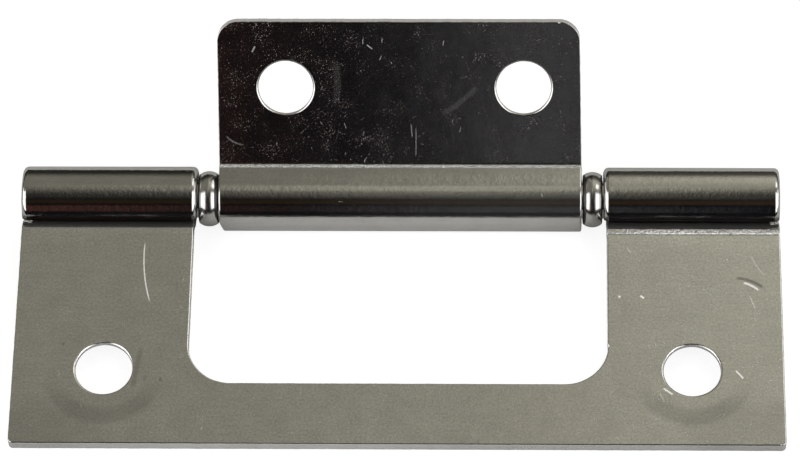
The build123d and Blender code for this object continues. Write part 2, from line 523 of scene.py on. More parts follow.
class Blank:
    """The flat sheet before it is rolled, built as one closed mesh."""

    def __init__(self, name):
        self.name = name
        self.mesh = bmesh.new()
        self.torn = self.mesh.verts.layers.float.new("torn")

    def ring(self, points):
        """One closed row of vertices, from places, heights and how torn the steel is there."""
        ring = []
        for place, height, torn in points:
            vertex = self.mesh.verts.new((place.x, place.y, height))
            vertex[self.torn] = torn
            ring.append(vertex)
        return ring

    def skin(self, rings):
        """Joins rings of equal length by bands of quads."""
        for upper, lower in zip(rings, rings[1:]):
            for index in range(len(upper)):
                self.mesh.faces.new((upper[index - 1], upper[index], lower[index], lower[index - 1]))

    def edge(self, outline, sizes, seed):
        """The sheared edge, rounded little on the flat and more at the knuckles. Gives its first
        ring, on the upper face, and its last."""
        upper = sizes.edge_rounding
        rim_run = 1.2 * MM
        columns = []
        for point, direction in zip(outline.points, outline.inward()):
            stray = settings().sheet.raggedness * wander(point, seed)
            lower = upper + (sizes.rim - upper) * eased(point.y / rim_run)
            column = []
            for inset, height, torn in rim_profile(upper, lower):
                place = point + direction * (inset + stray * (1 if torn else 0.7))
                column.append((place, height, torn))
            columns.append(column)
        rings = [self.ring(row) for row in zip(*columns)]
        self.skin(rings)
        return rings[0], rings[-1]

    def hole(self, centre, radius, head_side, seed):
        """One screw hole. Gives its first and last rings."""
        rings = []
        raggedness = 0.01 * MM
        for distance, height in hole_profile(radius, head_side):
            points = []
            for angle in spread(0, 360, 2.5):
                direction = Vector((cos(radians(angle)), -sin(radians(angle))))
                place = centre + direction * distance
                place += direction * raggedness * wander(place, seed)
                points.append((place, height, 1 if distance < radius * 1.01 else 0))
            rings.append(self.ring(points))
        self.skin(rings)
        return rings[0], rings[-1]

    def strip(self, ring, right_side, left_side, upward):
        """The rolled strip between two sides of one ring, one face for each row. The last face
        takes in every point of the rolled edge."""
        rights = list(right_side)
        lefts = list(reversed(left_side))
        for lower in range(len(rights) - 1):
            far = [rights[lower + 1], lefts[lower + 1]]
            if lower == len(rights) - 2:
                far = list(range(far[0], far[1] + 1))
            corners = [ring[index] for index in (lefts[lower], rights[lower], *far)]
            self.mesh.faces.new(corners if upward else reversed(corners))

    def flat(self, ring, rolled, hole_rings, upward):
        """Fills the flat part of one face round its holes."""
        border = [vertex for index, vertex in enumerate(ring) if index not in rolled]
        loops = [border, *hole_rings]
        vertices = [vertex for loop in loops for vertex in loop]
        edges = []
        for loop in loops:
            start = len(edges)
            edges += [(start + index, start + (index + 1) % len(loop)) for index in range(len(loop))]
        flat_places = [Vector((vertex.co.x, vertex.co.y)) / MM for vertex in vertices]
        triangles = delaunay_2d_cdt(flat_places, edges, [list(range(len(border)))], 1, 1e-7)[2:4]
        for corners in triangles[0]:
            chosen = [triangles[1][corner][0] for corner in corners]
            if not self.in_hole(chosen, len(border), len(hole_rings[0]), flat_places):
                face = [vertices[index] for index in chosen]
                self.mesh.faces.new(face if upward else reversed(face))

    def in_hole(self, chosen, first, size, places):
        """Whether a triangle lies in a hole: its corners are all on the hole's ring, and in the
        ring's order they run clockwise as the ring does."""
        rings = {(index - first) // size if index >= first else -1 for index in chosen}
        if len(rings) > 1 or -1 in rings:
            return False
        a, b, c = (places[index] for index in sorted(chosen))
        return (b - a).cross(c - a) < 0

    def finish(self):
        """The finished blank as an object, with its faces pointing out."""
        bmesh.ops.recalc_face_normals(self.mesh, faces=self.mesh.faces)
        for face in self.mesh.faces:
            face.smooth = True
        data = bpy.data.meshes.new(self.name)
        self.mesh.to_mesh(data)
        self.mesh.free()
        blank = bpy.data.objects.new(self.name, data)
        bpy.context.scene.collection.objects.link(blank)
        return blank


def roll_tree():
    """Geometry nodes that roll a flat blank round the pin. Its rows before 0 stay flat, then
    comes the bend, a straight run and the roll. The flat place is kept for the materials."""
    tree = bpy.data.node_groups.new("Roll Round Pin", "GeometryNodeTree")
    graph = Graph(tree)
    blank = graph.group_input("Geometry", "NodeSocketGeometry")
    bend_angle = graph.group_input("Bend Angle", "NodeSocketFloat", "ANGLE")
    bend_radius = graph.group_input("Bend Radius", "NodeSocketFloat", "DISTANCE")
    radius = graph.group_input("Roll Radius", "NodeSocketFloat", "DISTANCE")
    swing = graph.group_input("Swing", "NodeSocketFloat", "ANGLE")
    pin_axis = graph.group_input("Pin Axis", "NodeSocketVector", "TRANSLATION")
    finish = graph.group_input("Finish", "NodeSocketMaterial")

    place = graph.add("GeometryNodeInputPosition")
    kept = graph.add(
        "GeometryNodeStoreNamedAttribute",
        {"data_type": "FLOAT_VECTOR", "domain": "POINT"},
        {"Geometry": blank, "Name": "blank", "Value": place},
    )
    along, row, height = graph.split(place)

    half_tangent = graph.math("TANGENT", bend_angle / 2)
    bend_sine = graph.math("SINE", bend_angle)
    bend_cosine = graph.math("COSINE", bend_angle)
    flat_end = radius / bend_sine + bend_radius * half_tangent
    bend_run = bend_radius * bend_angle
    straight_run = radius * bend_cosine / bend_sine - bend_radius * half_tangent

    flat = graph.math("MINIMUM", row, 0.0)
    in_bend = graph.math("MINIMUM", graph.math("MAXIMUM", row, 0.0), bend_run)
    past_bend = graph.math("MAXIMUM", row - bend_run, 0.0)
    in_straight = graph.math("MINIMUM", past_bend, straight_run)
    in_roll = graph.math("MAXIMUM", past_bend - straight_run, 0.0)
    bend = in_bend / bend_radius
    roll = in_roll / radius

    reach = flat_end - flat - bend_radius * graph.math("SINE", bend) - in_straight * bend_cosine
    reach = reach + radius * (graph.math("SINE", bend_angle - roll) - bend_sine)
    rise = bend_radius * (graph.math("COSINE", bend) - 1) - in_straight * bend_sine
    rise = rise + radius * (bend_cosine - graph.math("COSINE", bend_angle - roll))
    turn = bend - roll
    reach = reach - height * graph.math("SINE", turn)
    rise = rise + height * graph.math("COSINE", turn)

    rolled = graph.add(
        "GeometryNodeSetPosition",
        sockets={"Geometry": kept, "Position": graph.join(along, -reach, rise)},
    )
    placed = graph.add(
        "GeometryNodeTransform",
        sockets={"Geometry": rolled, "Translation": pin_axis, "Rotation": graph.join(swing, 0.0, 0.0)},
    )
    real = graph.add("GeometryNodeRealizeInstances", sockets={0: placed})
    painted = graph.add("GeometryNodeSetMaterial", sockets={"Geometry": real, "Material": finish})
    graph.group_output(painted)
    return tree


def revolve_tree():
    """Geometry nodes that turn a closed section round the pin's axis. The section's points lie
    in order, with x along the pin and y as the radius."""
    tree = bpy.data.node_groups.new("Revolve Round Pin", "GeometryNodeTree")
    graph = Graph(tree)
    section = graph.group_input("Geometry", "NodeSocketGeometry")
    steps = graph.group_input("Steps", "NodeSocketInt")
    centre = graph.group_input("Centre", "NodeSocketVector", "TRANSLATION")
    finish = graph.group_input("Finish", "NodeSocketMaterial")

    points = graph.add("GeometryNodeAttributeDomainSize", sockets={0: section})
    grid = graph.add(
        "GeometryNodeMeshGrid", sockets={"Vertices X": steps + 1, "Vertices Y": points + 1}
    )
    index = graph.add("GeometryNodeInputIndex")
    column = graph.math("FLOOR", (index + 0.5) / (points + 1))
    row = graph.math("MODULO", index - column * (points + 1), points)
    sampled = graph.add(
        "GeometryNodeSampleIndex",
        {"data_type": "FLOAT_VECTOR"},
        {"Geometry": section, "Value": graph.add("GeometryNodeInputPosition"), "Index": row + 0.5},
    )
    along, radius, _ = graph.split(sampled)
    turn = column / steps * (2 * pi)
    place = graph.join(along, radius * graph.math("COSINE", turn), radius * graph.math("SINE", turn))
    turned = graph.add(
        "GeometryNodeSetPosition", sockets={"Geometry": grid, "Position": place, "Offset": centre}
    )
    closed = graph.add("GeometryNodeMergeByDistance", sockets={"Geometry": turned, "Distance": 1e-7})
    smooth = graph.add("GeometryNodeSetShadeSmooth", sockets={"Geometry": closed})
    real = graph.add("GeometryNodeRealizeInstances", sockets={0: smooth})
    painted = graph.add("GeometryNodeSetMaterial", sockets={"Geometry": real, "Material": finish})
    graph.group_output(painted)
    return tree


def shaped_by(source, tree, values, name):
    """Runs a geometry tree on an object and gives the result as a plain mesh object."""
    modifier = source.modifiers.new("Shape", "NODES")
    modifier.node_group = tree
    for item in tree.interface.items_tree:
        if item.in_out == "INPUT" and item.name in values:
            modifier[item.identifier] = values[item.name]
    bpy.context.view_layer.update()
    depsgraph = bpy.context.evaluated_depsgraph_get()
    data = bpy.data.meshes.new_from_object(
        source.evaluated_get(depsgraph), preserve_all_data_layers=True, depsgraph=depsgraph
    )
    bpy.data.objects.remove(source)
    data.name = name
    piece = bpy.data.objects.new(name, data)
    bpy.context.scene.collection.objects.link(piece)
    return piece


def outer_outline(rows):
    """The large leaf's blank with its two knuckle strips, and the sides of each strip."""
    sizes = settings().outer
    outline = Outline()
    half = sizes.length / 2
    side = sizes.window_width / 2
    overhang = (sizes.window_width - sizes.knuckle_opening) / 2
    free = bend_start() - sizes.reach
    window_end = bend_start() - sizes.window_reach
    corner = sizes.corner
    round_window = sizes.window_corner
    roll_start = bend_length() + straight_length()

    def knuckle_face(row):
        """The strip's inner side, which comes to stand out from the arm between a quarter of a
        turn and 60 degrees further on."""
        turn = (row - roll_start) / roll_radius()
        return side - overhang * eased((turn - radians(90)) / radians(60))

    outline.corner(-half + corner, free + corner, corner, 180, 270)
    outline.line_to(half - corner, free)
    outline.corner(half - corner, free + corner, corner, 270, 360)
    outline.line_to(half, rows[0] - EDGE_STEP)
    right_outside = outline.knuckle_side(lambda row: half, rows)
    outline.line_to(knuckle_face(rows[-1]) + 0.1 * MM, rows[-1])
    right_inside = outline.knuckle_side(knuckle_face, list(reversed(rows)))
    outline.line_to(side, window_end + round_window)
    outline.corner(side - round_window, window_end + round_window, round_window, 0, -90)
    outline.line_to(-side + round_window, window_end)
    outline.corner(-side + round_window, window_end + round_window, round_window, 270, 180)
    outline.line_to(-side, rows[0] - EDGE_STEP)
    left_inside = outline.knuckle_side(lambda row: -knuckle_face(row), rows)
    outline.line_to(-half + 0.1 * MM, rows[-1])
    left_outside = outline.knuckle_side(lambda row: -half, list(reversed(rows)))
    outline.line_to(-half, free + corner + EDGE_STEP)
    return outline, [(right_outside, right_inside), (left_inside, left_outside)]


def inner_outline(rows):
    """The small leaf's blank with its one knuckle strip, and the sides of the strip."""
    sizes = settings().inner
    outline = Outline()
    half = sizes.length / 2
    free = bend_start() - sizes.reach
    corner = sizes.corner
    end_half = half - sizes.taper
    knuckle_radius = settings().sheet.bore_radius + settings().sheet.thickness
    roll_start = bend_length() + straight_length()

    def clipped_side(row):
        """The left side of the strip, cut back where it lies furthest from the leaf."""
        turn = settings().sheet.bend_angle - pi / 2 - (row - roll_start) / roll_radius()
        far = -knuckle_radius * cos(turn - sizes.clip_lean) if row > roll_start else 0.0
        cut = max(0.0, (far - knuckle_radius + sizes.clip_height) / sizes.clip_height)
        return -half + sizes.clip_width * cut

    outline.corner(-half + corner, free + corner, corner, 180, 270)
    outline.line_to(end_half - corner, free)
    outline.corner(end_half - corner, free + corner, corner, 270, 360)
    outline.line_to(half, rows[0] - EDGE_STEP)
    right = outline.knuckle_side(lambda row: half, rows)
    outline.line_to(-half + 0.1 * MM, rows[-1])
    left = outline.knuckle_side(clipped_side, list(reversed(rows)))
    outline.line_to(-half, free + corner + EDGE_STEP)
    return outline, [(right, left)]


def build_blank(name, outline, strips, holes, head_side, sizes, seed):
    """A flat blank with its sheared edge, its screw holes and the rows that will be rolled."""
    blank = Blank(name)
    upper, lower = blank.edge(outline, sizes, seed)
    hole_rings = [blank.hole(centre, radius, head_side, seed) for centre, radius in holes]
    rolled = set()
    for right, left in strips:
        blank.strip(upper, right, left, True)
        blank.strip(lower, right, left, False)
        low, high = min(right[0], left[0]), max(right[-1], left[-1])
        rolled |= set(range(low + 1, high))
    blank.flat(upper, rolled, [rings[0] for rings in hole_rings], True)
    blank.flat(lower, rolled, [rings[1] for rings in hole_rings], False)
    return blank.finish()


def screw_holes(sizes, shift):
    """Centres and radii of a leaf's pair of screw holes, on the blank."""
    row = bend_start() - sizes.hole_reach
    places = [Vector((shift + side * sizes.hole_spacing / 2, row)) for side in (-1, 1)]
    return [(place, sizes.hole_diameter / 2) for place in places]


def pin_axis():
    """A point on the pin's axis in the frame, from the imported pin."""
    low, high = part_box("hinge_pin")
    return Vector((0.0, (low.y + high.y) / 2, (low.z + high.z) / 2))


def rolled_leaf(blank, tree, swing, finish, name):
    """Rolls a blank and puts it in its place."""
    sheet = settings().sheet
    values = {
        "Bend Angle": sheet.bend_angle,
        "Bend Radius": sheet.bend_radius,
        "Roll Radius": roll_radius(),
        "Swing": swing,
        "Pin Axis": pin_axis(),
        "Finish": finish,
    }
    return shaped_by(blank, tree, values, name)


def shared_tree(maker, name):
    """The named geometry tree, made when it is first asked for."""
    return bpy.data.node_groups.get(name) or maker()


class Plating:
    """Builds one plated material. Lengths in it are millimetres."""

    def __init__(self, name):
        self.material = bpy.data.materials.new(name)
        self.graph = fresh_graph(self.material)
        place = self.graph.add("ShaderNodeTexCoord", output=3)
        self.place = self.graph.vector("MULTIPLY", place, (1000, 1000, 1000))
        self.roughness = settings().finish.roughness
        self.worn = 0.0
        self.tone = 1.0
        self.normal = None

    def relief(self, height, distance):
        """Adds a relief of that depth in millimetres on what is there."""
        self.normal = self.graph.bump(height, distance * MM, self.normal)

    def wear(self, amount, rough=0.0):
        """Wears the surface lighter and duller where amount is 1."""
        self.worn = self.graph.math("MAXIMUM", self.worn, amount)
        self.roughness = self.roughness + rough * amount

    def darken(self, amount):
        """Takes light from the colour where amount is above 0."""
        self.tone = self.tone * (1 - amount)

    def grain(self, depth=1.0):
        """Slight waviness, orange peel and clouding of plated steel."""
        graph = self.graph
        depth = depth * settings().finish.grain
        peel = graph.noise(self.place, 6.0, 3, 0.65)
        cloud = graph.noise(self.place, 0.5, 3)
        self.relief(graph.noise(self.place, 0.22, 2), 0.012)
        self.relief(graph.noise(self.place, 1.6, 2), 0.006 * depth)
        self.relief(peel, 0.004 * depth)
        self.tone = 0.85 + 0.3 * peel + 0.2 * (cloud - 0.5)
        self.roughness = self.roughness + 0.04 * peel + 0.03 * cloud

    def nicks(self, scale, length, width, filled):
        """Short hairline scratches that lie every way, in the filled share of the cells. A cell
        is 1 over scale wide."""
        graph = self.graph
        cells = {"Vector": self.place, "Scale": scale, "Randomness": 1.0}
        centre = graph.add("ShaderNodeTexVoronoi", sockets=cells, output=2)
        tint = graph.add("ShaderNodeTexVoronoi", sockets=cells, output=1)
        chance, turn, shade = graph.split(tint)
        x, y, _ = graph.split(graph.vector("SUBTRACT", self.place, centre))
        angle = turn * (2 * pi)
        along = x * graph.math("COSINE", angle) + y * graph.math("SINE", angle)
        side = y * graph.math("COSINE", angle) - x * graph.math("SINE", angle)
        side = side + 0.6 * along * along * (shade - 0.5) / length
        line = graph.band(side, 0.0, width * 0.4, width * 0.6)
        line = line * graph.band(along, 0.0, length * 0.4, length)
        line = line * (1 - graph.between(chance, filled, filled + 0.02)) * (0.3 + 0.7 * shade)
        self.relief(line, -0.004)
        self.wear(line * 0.2, 0.1)

    def scratch(self, place, start, end, bow, width):
        """A mask of one scratch between two places, bowed to the left of its run."""
        graph = self.graph
        run = Vector(end) - Vector(start)
        heading = run.normalized()
        x = place[0] - start[0]
        y = place[1] - start[1]
        along = (x * heading.x + y * heading.y) / run.length
        side = y * heading.x - x * heading.y - 4 * bow * along * (1 - along)
        return graph.band(side, 0.0, width * 0.3, width * 0.5) * graph.band(along, 0.5, 0.38, 0.14)

    def scratches(self, place, marks, rough):
        """Light scratches, each given by its start, end, bow, width and strength."""
        for start, end, bow, width, strength in marks:
            self.wear(strength * self.scratch(place, start, end, bow, width), rough)

    def smudges(self, place, marks):
        """Dark scratches and smudges, given in the same way."""
        for start, end, bow, width, strength in marks:
            self.darken(strength * self.scratch(place, start, end, bow, width))

    def finish(self):
        """Joins what was built to the surface."""
        graph = self.graph
        look = settings().finish
        worn = graph.math("MINIMUM", self.worn, 1.0)
        shade = graph.join(self.tone, self.tone, self.tone)
        surface = graph.add(
            "ShaderNodeBsdfPrincipled",
            sockets={
                "Base Color": graph.vector("MULTIPLY", graph.mix(worn, look.plating, look.worn), shade),
                "Metallic": 1 - 0.8 * worn,
                "Roughness": self.roughness,
                "Normal": self.normal,
            },
        )
        graph.add("ShaderNodeOutputMaterial", sockets={"Surface": surface})
        return self.material


class SheetPlating(Plating):
    """Plating of a rolled leaf, which also knows each point's place on the flat blank."""

    def __init__(self, name):
        super().__init__(name)
        graph = self.graph
        blank = graph.add("ShaderNodeAttribute", {"attribute_name": "blank"}, output=1)
        self.blank = graph.vector("MULTIPLY", blank, (1000, 1000, 1000))
        self.along, self.row, self.height = graph.split(self.blank)
        self.torn = graph.add("ShaderNodeAttribute", {"attribute_name": "torn"}, output=2)

    def rolling(self):
        """The paler, duller upper face of the flat, faint streaks from rolling on both faces,
        and the skin of the knuckle, roughened by its rolling."""
        graph = self.graph
        streaks = graph.noise(graph.vector("MULTIPLY", self.blank, (0.4, 5.0, 5.0)), 1.0, 3)
        self.tone = self.tone + 0.16 * (streaks - 0.5)
        flat = 1 - graph.between(self.row, -0.2, 0.2)
        dull = graph.between(self.height, 0.3, 0.5) * flat
        pores = graph.noise(self.place, 5.0, 3, 0.7) - 0.5
        self.tone = self.tone * (1 + dull * (0.33 + 1.1 * pores))
        self.roughness = self.roughness + 0.05 * dull
        rolled = graph.between(self.row, 1.2, 1.6)
        self.relief(graph.noise(self.place, 2.2, 3, 0.7) * rolled, 0.011)

    def specks(self, amount, rarity):
        """Specks of every strength on the flat, the fewer the higher their rarity."""
        graph = self.graph
        cloud = graph.noise(self.place, 0.6, 2)
        long = graph.vector("MULTIPLY", self.blank, (1.0, 0.6, 1.0))
        grains = graph.noise(long, 11.0, 2, 0.6) + 0.3 * cloud
        flat = 1 - graph.between(self.row, 0.0, 0.4)
        specks = graph.between(grains, rarity, rarity + 0.25) ** 2 * flat
        self.relief(specks, 0.004)
        self.wear(amount * specks, 0.1)

    def crazing(self, start, full, end, strength):
        """Crazed plating, growing from one row to where it is full and ending at a third, where
        the sheet was bent."""
        graph = self.graph
        zone = graph.between(self.row, start, full) ** 2
        zone = zone * (1 - graph.between(self.row, end - 0.1, end)) * strength
        stretched = graph.vector("MULTIPLY", self.blank, (1.0, 0.6, 1.0))
        specks = graph.noise(stretched, 7.0, 2, 0.7)
        patchy = graph.between(graph.noise(self.place, 0.9, 2), 0.3, 0.6)
        crazed = zone * graph.between(specks, 0.5, 0.62) * (0.25 + 0.75 * patchy)
        self.relief(zone * graph.noise(stretched, 5.0, 3, 0.7), 0.2)
        self.wear(0.75 * crazed, 0.05)

    def groove(self):
        """The softly worn upper face of the bend, in the groove beside the roll."""
        graph = self.graph
        self.wear(0.09 * graph.band(self.row, 0.35, 0.3, 0.2) * graph.between(self.height, 0.3, 0.5))

    def torn_edge(self):
        """The torn steel of the sheared edge: clean outside, with painted shade in the joints between the
        knuckles, in the fold of the bend and where the rolled edge is tucked in."""
        graph = self.graph
        joint_end = 20.0
        self.relief(graph.noise(self.place, 6.0, 2) * self.torn, 0.012)
        self.roughness = self.roughness + 0.16 * self.torn
        self.worn = graph.math("MAXIMUM", self.worn, 0.3 * self.torn)
        from_middle = graph.math("ABSOLUTE", self.along)
        # Painted shade: the torn edge is darkened in the joints between the knuckles and in the fold of
        # the bend, and the rolled edge is darkened where it is tucked into the seam.
        in_joint = 1 - graph.between(from_middle, joint_end, joint_end + 0.5)
        fold = graph.band(self.row, 0.9, 0.8, 0.3)
        crevice_shade = graph.math("MAXIMUM", in_joint * graph.between(self.row, 0.5, 1.0), fold) * self.torn
        roll_end = (bend_length() + straight_length() + roll_length()) / MM
        tucked = graph.between(self.row, roll_end - 0.65, roll_end - 0.2)
        self.darken(0.85 * graph.math("MAXIMUM", crevice_shade, tucked))


def outer_leaf_plating():
    """Plating of the large leaf, with its scratches, smudges and painted shade in the stamped rings round
    its holes.
    """
    plating = SheetPlating("outer_leaf_plating")
    graph = plating.graph
    plating.grain()
    plating.rolling()
    plating.nicks(0.5, 0.2, 0.015, 0.15)
    plating.groove()
    x, y, _ = graph.split(plating.place)
    right = graph.between(x, 12.0, 22.0)
    plating.specks(0.6, 0.78 - 0.08 * right)
    plating.crazing(-0.6, -0.25, 0.15, settings().finish.cracks * (0.05 + 0.75 * right))
    scratches = (
        ((-21.3, 12.0), (-20.65, 6.2), -0.27, 0.1, 0.75),
        ((28.55, 8.25), (29.85, 7.5), 0.1, 0.17, 1.0),
        ((29.05, 7.05), (29.5, 5.8), 0.0, 0.08, 0.5),
        ((29.3, 10.8), (30.35, 8.9), -0.1, 0.08, 0.35),
        ((20.0, 6.98), (20.35, 6.72), 0.0, 0.16, 1.0),
        ((18.22, 6.98), (18.36, 6.78), 0.0, 0.18, 0.9),
        ((27.75, 0.0), (28.4, -0.78), 0.0, 0.13, 1.0),
        ((21.8, -1.68), (22.6, -2.28), 0.0, 0.15, 1.0),
        ((21.5, -2.15), (21.9, -3.0), 0.0, 0.08, 0.4),
        ((18.95, 11.6), (19.3, 11.0), 0.0, 0.08, 0.4),
    )
    plating.scratches((x, y), scratches, 0.1)
    smudges = (
        ((27.9, 8.7), (30.25, 7.75), 0.2, 0.24, 0.45),
        ((-21.2, 2.0), (-21.75, -1.95), 0.0, 0.34, 0.2),
        ((-19.6, -1.04), (-19.35, -1.04), 0.0, 0.34, 0.3),
        ((-20.95, -0.9), (-20.6, -0.9), 0.0, 0.4, 0.15),
        ((-27.75, 2.27), (-27.55, 2.27), 0.0, 0.24, 0.3),
    )
    plating.smudges((x, y), smudges)
    hole_side = settings().outer.hole_spacing / 2 / MM
    from_hole = graph.math("ABSOLUTE", x) - hole_side
    radius = graph.math("SQRT", from_hole * from_hole + y * y)
    # Painted shade in the stamped ring round each screw hole, on the side below the hole.
    ring_shade_below_holes = graph.band(radius, 4.4, 0.35, 0.7) * graph.between(-y, 0.8, 3.4)
    plating.darken(0.18 * ring_shade_below_holes)
    left_corner = graph.between(-y, 2.0, 5.0) * (1 - graph.between(x, -29.0, -22.0))
    plating.darken(0.14 * left_corner)
    right_half = graph.between(x, -2.0, 8.0) * (1 - graph.between(y, 10.0, 13.5))
    plating.darken(0.1 * right_half)
    right_corner = graph.between(-y, 2.0, 4.0) * graph.between(x, 22.0, 26.0)
    plating.darken(0.12 * right_corner)
    plating.torn_edge()
    # Painted shade on the window's torn edge that faces the pin, which lies in shade.
    window_edge_shade = graph.band(y, -1.3, 0.3, 0.3) * graph.band(x, 0.0, 16.5, 1.0)
    plating.darken(0.75 * window_edge_shade * plating.torn)
    return plating.finish()


def inner_leaf_plating():
    """Plating of the small leaf, with its scratches and faint wiped arcs."""
    plating = SheetPlating("inner_leaf_plating")
    graph = plating.graph
    plating.grain(0.4)
    plating.rolling()
    plating.nicks(0.6, 0.2, 0.015, 0.25)
    plating.specks(0.13, 0.7)
    plating.crazing(-0.35, 0.55, bend_length() / MM, settings().finish.cracks)
    rolled = graph.between(plating.row, 1.2, 1.6)
    plating.wear(0.035 * rolled * graph.between(plating.along, -12.0, 8.0))
    reach = bend_start() / MM - plating.row
    scratches = (
        ((-12.03, 13.5), (-12.3, 12.95), 0.0, 0.12, 0.5),
        ((-2.75, 13.65), (-2.25, 13.25), 0.0, 0.1, 0.5),
        ((0.92, 6.8), (1.02, 5.6), 0.0, 0.07, 0.35),
        ((1.34, 6.5), (1.32, 3.9), 0.0, 0.07, 0.3),
        ((-14.6, 5.7), (-13.1, 4.9), -0.15, 0.12, 0.22),
        ((3.5, 7.6), (6.5, 10.1), -0.15, 0.4, 0.06),
        ((-5.4, 12.4), (-5.4, 8.3), 0.2, 0.5, 0.05),
    )
    plating.scratches((plating.along, reach), scratches, 0.05)
    plating.torn_edge()
    return plating.finish()


def ring_plating():
    """Plating of the spacer rings, with painted shade at their sides beside the knuckles."""
    plating = Plating("ring_plating")
    graph = plating.graph
    plating.grain()
    sizes = settings().rings
    x, _, _ = graph.split(plating.place)
    from_middle = graph.math("ABSOLUTE", graph.math("ABSOLUTE", x) - sizes.place / MM)
    half = sizes.width / 2 / MM
    # Painted shade darkens each ring's sides, in the narrow gaps beside the knuckles.
    plating.darken(0.85 * graph.between(from_middle, half - 0.12, half - 0.04))
    plating.roughness = plating.roughness + 0.07
    return plating.finish()


def pin_plating():
    """Plating of the pin."""
    plating = Plating("pin_plating")
    plating.grain()
    return plating.finish()


class HINGE_OT_outer_leaf(bpy.types.Operator):
    """Build the large leaf with its window and two knuckles"""

    bl_idname = "hinge.outer_leaf"
    bl_label = "Outer Leaf"

    def execute(self, context):
        sizes = settings().outer
        outline, strips = outer_outline(roll_rows())
        holes = screw_holes(sizes, 0)
        blank = build_blank("outer_blank", outline, strips, holes, -1, sizes, 3.0)
        tree = shared_tree(roll_tree, "Roll Round Pin")
        leaf = rolled_leaf(blank, tree, 0.0, outer_leaf_plating(), "outer_leaf_steel")
        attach(leaf, "outer_leaf")
        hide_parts("outer_leaf")
        return {"FINISHED"}


class HINGE_OT_inner_leaf(bpy.types.Operator):
    """Build the small leaf with the middle knuckle"""

    bl_idname = "hinge.inner_leaf"
    bl_label = "Inner Leaf"

    def execute(self, context):
        sizes = settings().inner
        outline, strips = inner_outline(roll_rows())
        holes = screw_holes(sizes, sizes.hole_shift)
        blank = build_blank("inner_blank", outline, strips, holes, 1, sizes, 11.0)
        tree = shared_tree(roll_tree, "Roll Round Pin")
        leaf = rolled_leaf(blank, tree, sizes.swing, inner_leaf_plating(), "inner_leaf_steel")
        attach(leaf, "inner_leaf")
        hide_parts("inner_leaf")
        return {"FINISHED"}


def ring_section():
    """The crowned section of a spacer ring, as points in order round it."""
    sizes = settings().rings
    half = sizes.width / 2
    bore = settings().sheet.bore_radius
    edge = bore + sizes.wall
    rise = sizes.crown
    crown = (half * half + rise * rise) / (2 * rise)
    soft = 0.1 * MM
    limit = degrees(atan2(half - soft, crown - rise))
    points = []
    for angle in [*spread(-limit, limit, 2.5), limit]:
        turn = radians(angle)
        points.append((crown * sin(turn), edge + rise - crown + crown * cos(turn)))
    last = Vector(points[-1])
    corner = Vector((half, edge))
    side = Vector((half, edge - soft))
    shoulder = [last.lerp(corner, part).lerp(corner.lerp(side, part), part) for part in (0.25, 0.5, 0.75)]
    right = [*shoulder, side, Vector((half, bore + soft)), Vector((half - soft, bore))]
    left = [Vector((-point.x, point.y)) for point in reversed(right)]
    return [*points, *right, *left]


class HINGE_OT_spacer_rings(bpy.types.Operator):
    """Build the two spacer rings that turn on the pin"""

    bl_idname = "hinge.spacer_rings"
    bl_label = "Spacer Rings"

    def execute(self, context):
        sizes = settings().rings
        finish = ring_plating()
        tree = shared_tree(revolve_tree, "Revolve Round Pin")
        for side, hand in ((-1, "left"), (1, "right")):
            data = bpy.data.meshes.new("ring_section")
            data.from_pydata([(*point, 0.0) for point in ring_section()], [], [])
            section = bpy.data.objects.new("ring_section", data)
            context.scene.collection.objects.link(section)
            centre = pin_axis() + Vector((side * sizes.place, 0, 0))
            values = {"Steps": sizes.steps, "Centre": centre, "Finish": finish}
            ring = shaped_by(section, tree, values, f"ring_{hand}_steel")
            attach(ring, f"ring_{hand}")
            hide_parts(f"spacer_ring_{hand}")
        return {"FINISHED"}


class HINGE_OT_pin(bpy.types.Operator):
    """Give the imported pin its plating"""

    bl_idname = "hinge.pin"
    bl_label = "Pin"

    def execute(self, context):
        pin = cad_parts["hinge_pin"]
        pin.data.materials.clear()
        pin.data.materials.append(pin_plating())
        return {"FINISHED"}


def room_light(graph, across, height):
    """Colour from the camera's side: nearly dark, with faint haze low in the middle, a warm glow
    low on the left, an amber one above them and a dim fill over the camera."""
    look = settings().stage
    haze = 0.25 * graph.between(across, -0.026, -0.016) + 0.75 * graph.between(across, -0.012, 0.012)
    haze = haze * (1 - graph.between(across, 0.016, 0.021)) * graph.band(height, 0.11, 0.05, 0.06)
    warm = graph.band(height, 0.13, 0.05, 0.03) * (1 - graph.between(across, -0.09, -0.08))
    amber = 0.5 * graph.band(height, 0.27, 0.02, 0.04)
    room = graph.mix(haze, look.room, look.haze)
    room = graph.mix(warm, room, look.warm)
    room = graph.mix(amber, room, look.amber)
    return graph.mix(graph.between(height, 0.3, 0.38), room, look.fill)


def ceiling_light(graph, across, height, room):
    """Light from above, which starts higher on the right and lower over the middle, grows to
    the right and is dim behind."""
    look = settings().stage
    right = graph.between(across, 0.012, 0.026)
    dip = 0.095 * graph.band(across, -0.025, 0.035, 0.02) - 0.025 * right
    tint = graph.mix(graph.between(height + dip, 0.4, 0.62), room, look.ceiling)
    tint = graph.mix(graph.between(height, 0.78, 0.93), tint, look.behind)
    crest = graph.band(height, 0.55, 0.03, 0.05) * graph.band(across, -0.03, 0.02, 0.05)
    strength = (0.45 + 0.5 * graph.between(across, -0.05, 0.06)) * (1 + 0.65 * crest)
    strength = strength * (1 + 0.36 * right * (graph.between(height, 0.6, 0.74) - 0.4))
    return graph.add("ShaderNodeBackground", sockets={"Color": tint, "Strength": strength})


def side_panels(graph, across, height):
    """Mask of the tall soft light at each side, which rises outwards, and of a small one high
    on the right."""
    sideways = graph.math("ABSOLUTE", across)
    panel = graph.between(sideways, 0.26, 0.5) * (1 - graph.between(sideways, 0.98, 0.998))
    top = 0.5 + 0.2 * graph.between(sideways, 0.75, 0.9)
    panel = panel * graph.between(height, 0.05, 0.08) * (1 - graph.between(height - top, -0.03, 0.03))
    spot = graph.band(across, 0.5, 0.1, 0.05) * graph.band(height, 0.68, 0.045, 0.03)
    return graph.math("MAXIMUM", panel, spot)


